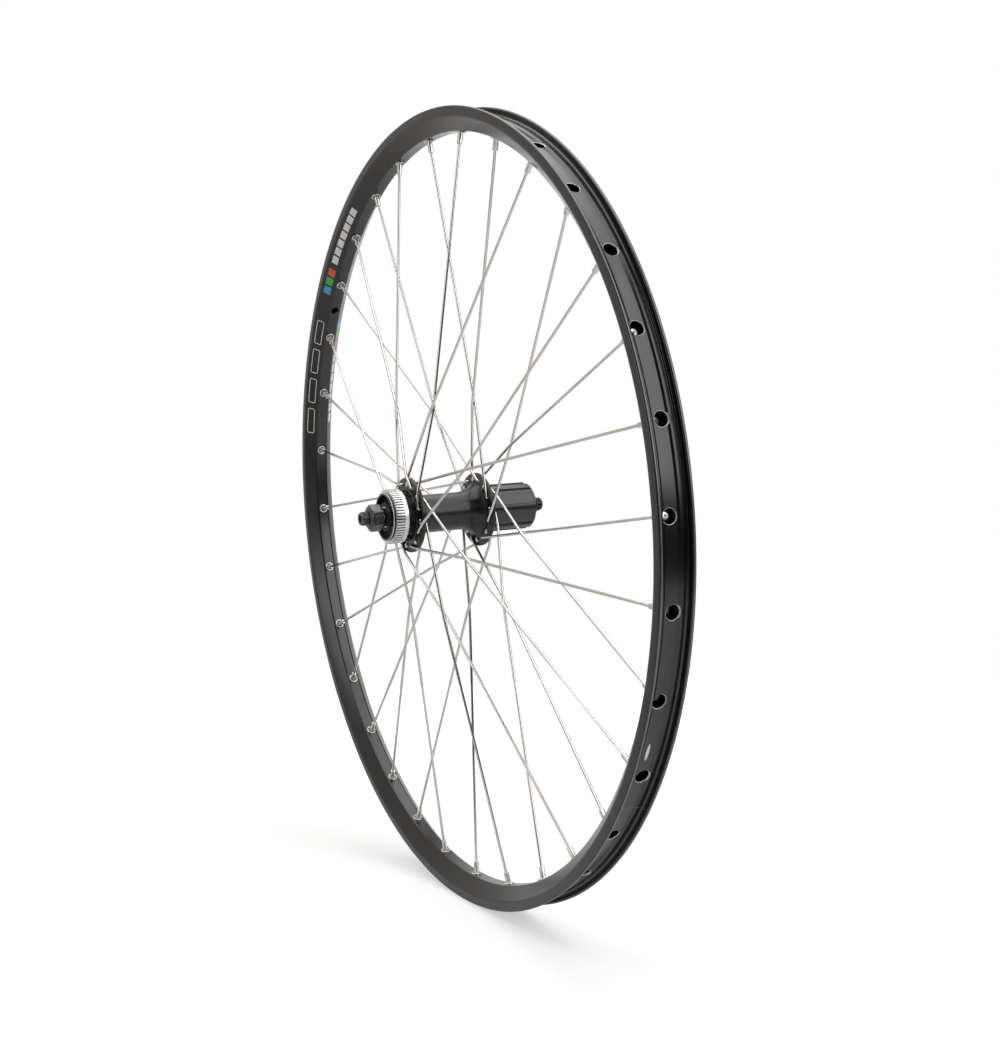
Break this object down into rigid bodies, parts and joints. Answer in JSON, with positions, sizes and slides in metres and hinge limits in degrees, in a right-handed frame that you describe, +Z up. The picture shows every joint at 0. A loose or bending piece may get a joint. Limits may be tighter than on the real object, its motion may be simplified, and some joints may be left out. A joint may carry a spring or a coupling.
{
  "type": "bicycle rear wheel",
  "caption": "Rear bicycle wheel with a double-wall rim, crossed wire spokes, a splined disc mount, cup-and-cone bearings and a freewheeling sprocket body on a hollow axle.",
  "frame": {"origin": "wheel centre, on the axle's line in the rim's middle plane", "axes": "+Y along the axle towards the freehub, +Z up, -X forwards"},
  "size_m": [0.57, 0.146, 0.57],
  "materials": {
    "rim_black": "satin black anodised",
    "eyelet_steel": "plated",
    "nipple_plate": "nickel plated",
    "spoke_steel": "drawn stainless",
    "hub_black": "gloss black",
    "bearing_steel": "ground",
    "black_steel": "black oxide",
    "freehub_steel": "dark phosphated",
    "seal_rubber": "matt"
  },
  "bodies": {
    "axle": {"axle": "black_steel", "left_cone": "black_steel", "left_cone_seal": "seal_rubber", "left_washer": "black_steel", "left_locknut": "black_steel", "right_cone": "black_steel", "right_spacer": "black_steel", "right_dust_cover": "seal_rubber", "right_locknut": "black_steel"},
    "wheel": {"rim": "rim_black", "rim_eyelets": "eyelet_steel", "spoke_nipples": "nipple_plate", "spoke_01": "spoke_steel", "spoke_02": "spoke_steel", "spoke_03": "spoke_steel", "spoke_04": "spoke_steel", "spoke_05": "spoke_steel", "spoke_06": "spoke_steel", "spoke_07": "spoke_steel", "spoke_08": "spoke_steel", "spoke_09": "spoke_steel", "spoke_10": "spoke_steel", "spoke_11": "spoke_steel", "spoke_12": "spoke_steel", "spoke_13": "spoke_steel", "spoke_14": "spoke_steel", "spoke_15": "spoke_steel", "spoke_16": "spoke_steel", "spoke_17": "spoke_steel", "spoke_18": "spoke_steel", "spoke_19": "spoke_steel", "spoke_20": "spoke_steel", "spoke_21": "spoke_steel", "spoke_22": "spoke_steel", "spoke_23": "spoke_steel", "spoke_24": "spoke_steel", "spoke_25": "spoke_steel", "spoke_26": "spoke_steel", "spoke_27": "spoke_steel", "spoke_28": "spoke_steel", "spoke_29": "spoke_steel", "spoke_30": "spoke_steel", "spoke_31": "spoke_steel", "spoke_32": "spoke_steel", "hub_shell": "hub_black", "left_bearing_cup": "bearing_steel", "left_dust_cap": "black_steel", "freehub_core": "bearing_steel", "freehub_bolt": "black_steel", "freehub_cup": "bearing_steel", "freehub_seal": "seal_rubber"},
    "freehub": {"freehub_body": "freehub_steel"},
    "bearing_balls": {"left_bearing_balls": "bearing_steel", "right_bearing_balls": "bearing_steel"},
    "pawl_a": {"pawl_1": "bearing_steel"},
    "pawl_b": {"pawl_2": "bearing_steel"}
  },
  "joints": [
    {"name": "wheel_spin", "type": "hinge", "parent": "axle", "child": "wheel", "pos_m": [0, 0, 0], "axis": [0, 1, 0], "continuous": true},
    {"name": "freehub_spin", "type": "hinge", "parent": "wheel", "child": "freehub", "pos_m": [0, 0.0435, 0], "axis": [0, 1, 0], "continuous": true},
    {"name": "ball_orbit", "type": "hinge", "parent": "axle", "child": "bearing_balls", "pos_m": [0, 0, 0], "axis": [0, 1, 0], "continuous": true},
    {"name": "pawl_a_press", "type": "hinge", "parent": "wheel", "child": "pawl_a", "pos_m": [0.0118, 0.0325, 0], "axis": [0, 1, 0], "range_deg": [0, 8], "stiffness_Nm_per_rad": 0.01, "springref_deg": -17.19},
    {"name": "pawl_b_press", "type": "hinge", "parent": "wheel", "child": "pawl_b", "pos_m": [-0.0118, 0.0325, 0], "axis": [0, 1, 0], "range_deg": [0, 8], "stiffness_Nm_per_rad": 0.01, "springref_deg": -17.19}
  ],
  "couplings": [
    {"joint": "ball_orbit", "follows": "wheel_spin", "ratio": 0.613}
  ]
}
